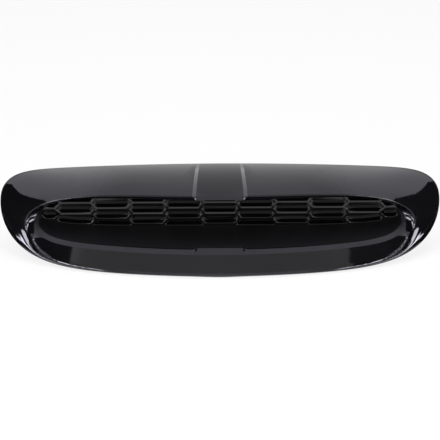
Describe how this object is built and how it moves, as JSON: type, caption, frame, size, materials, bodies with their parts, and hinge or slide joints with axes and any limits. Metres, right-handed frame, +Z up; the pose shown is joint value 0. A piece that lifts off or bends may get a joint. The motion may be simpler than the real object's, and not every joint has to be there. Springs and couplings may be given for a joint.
{
  "type": "bonnet scoop",
  "caption": "Glossy black car bonnet scoop: wide rounded roof with a raised centre strip over a flat mouth, sloping chin and a dark honeycomb grille set back inside.",
  "frame": {"origin": "midway between the two inner mounting studs, level with the faces of their bosses", "axes": "+X to the viewer's right across the width, -Y out of the mouth (front of the car), +Z up, away from the bonnet"},
  "size_m": [0.4834, 0.124, 0.085],
  "materials": {
    "cover": "injection moulded, high-gloss piano black",
    "grille": "injection moulded, satin black",
    "screw": "black zinc plated",
    "stud": "zinc plated, rolled thread",
    "seal": "closed-cell rubber foam"
  },
  "bodies": {
    "root": {"scoop_cover": "cover", "honeycomb_grille": "grille", "grille_screws": "screw", "mounting_studs": "stud", "edge_seal": "seal"}
  },
  "joints": []
}
